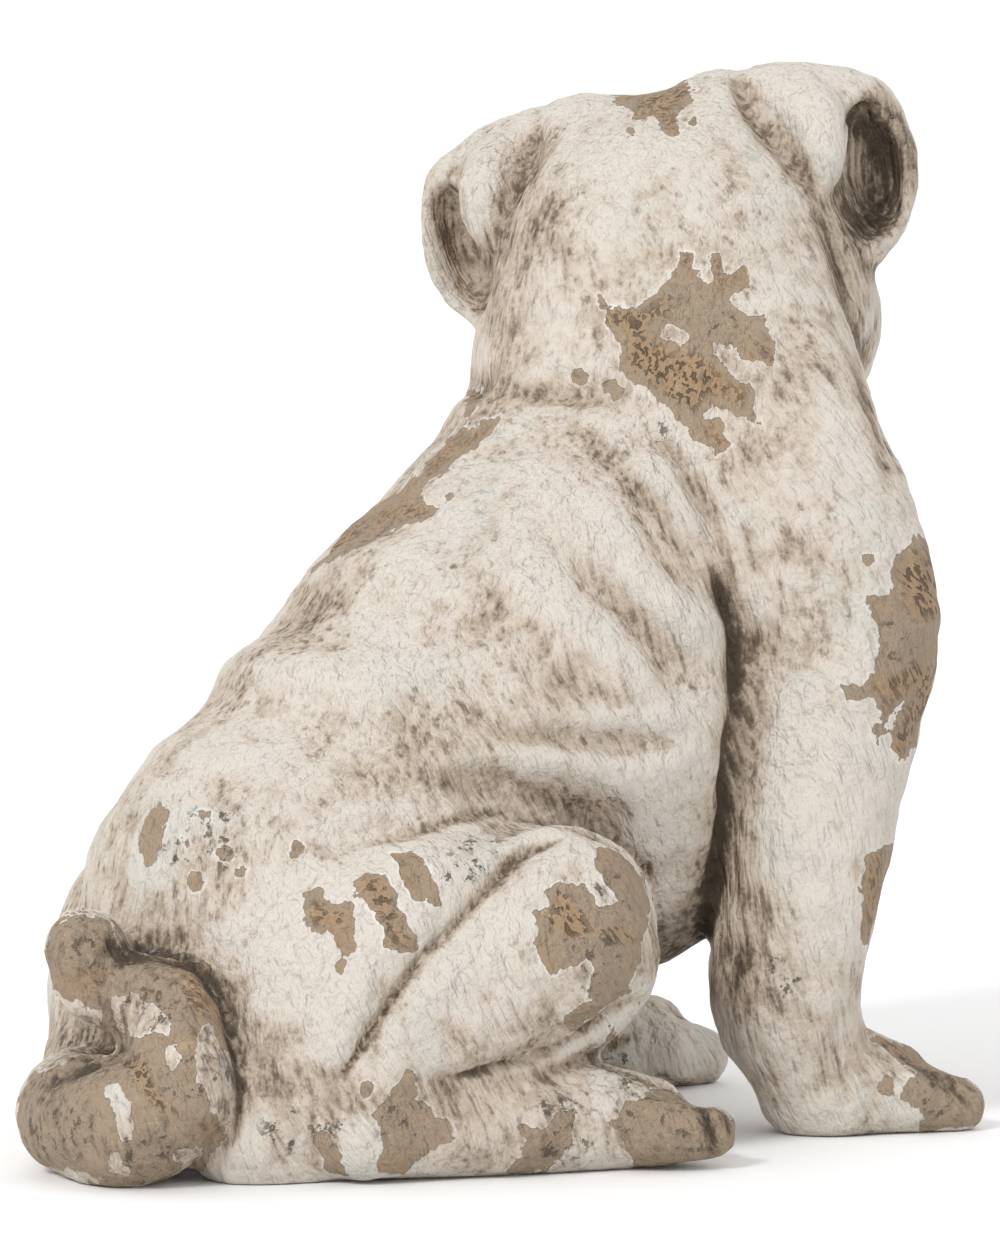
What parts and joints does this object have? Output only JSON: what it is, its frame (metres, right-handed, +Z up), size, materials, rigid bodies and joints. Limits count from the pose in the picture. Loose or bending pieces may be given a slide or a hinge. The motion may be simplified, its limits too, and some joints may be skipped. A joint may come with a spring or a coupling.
{
  "type": "dog garden statue",
  "caption": "Cast garden figure of a seated bulldog with its head turned, folded ears and a thick curled tail.",
  "frame": {"origin": "on the ground, at the centre of the figure's bounding box", "axes": "+Z up, +X the way the dog's body faces, +Y to the dog's left"},
  "size_m": [0.4634, 0.3204, 0.45],
  "materials": {
    "cast_stone": "cast concrete under flaking cream paint, rough and not plastic"
  },
  "bodies": {
    "root": {"dog": "cast_stone"}
  },
  "joints": []
}
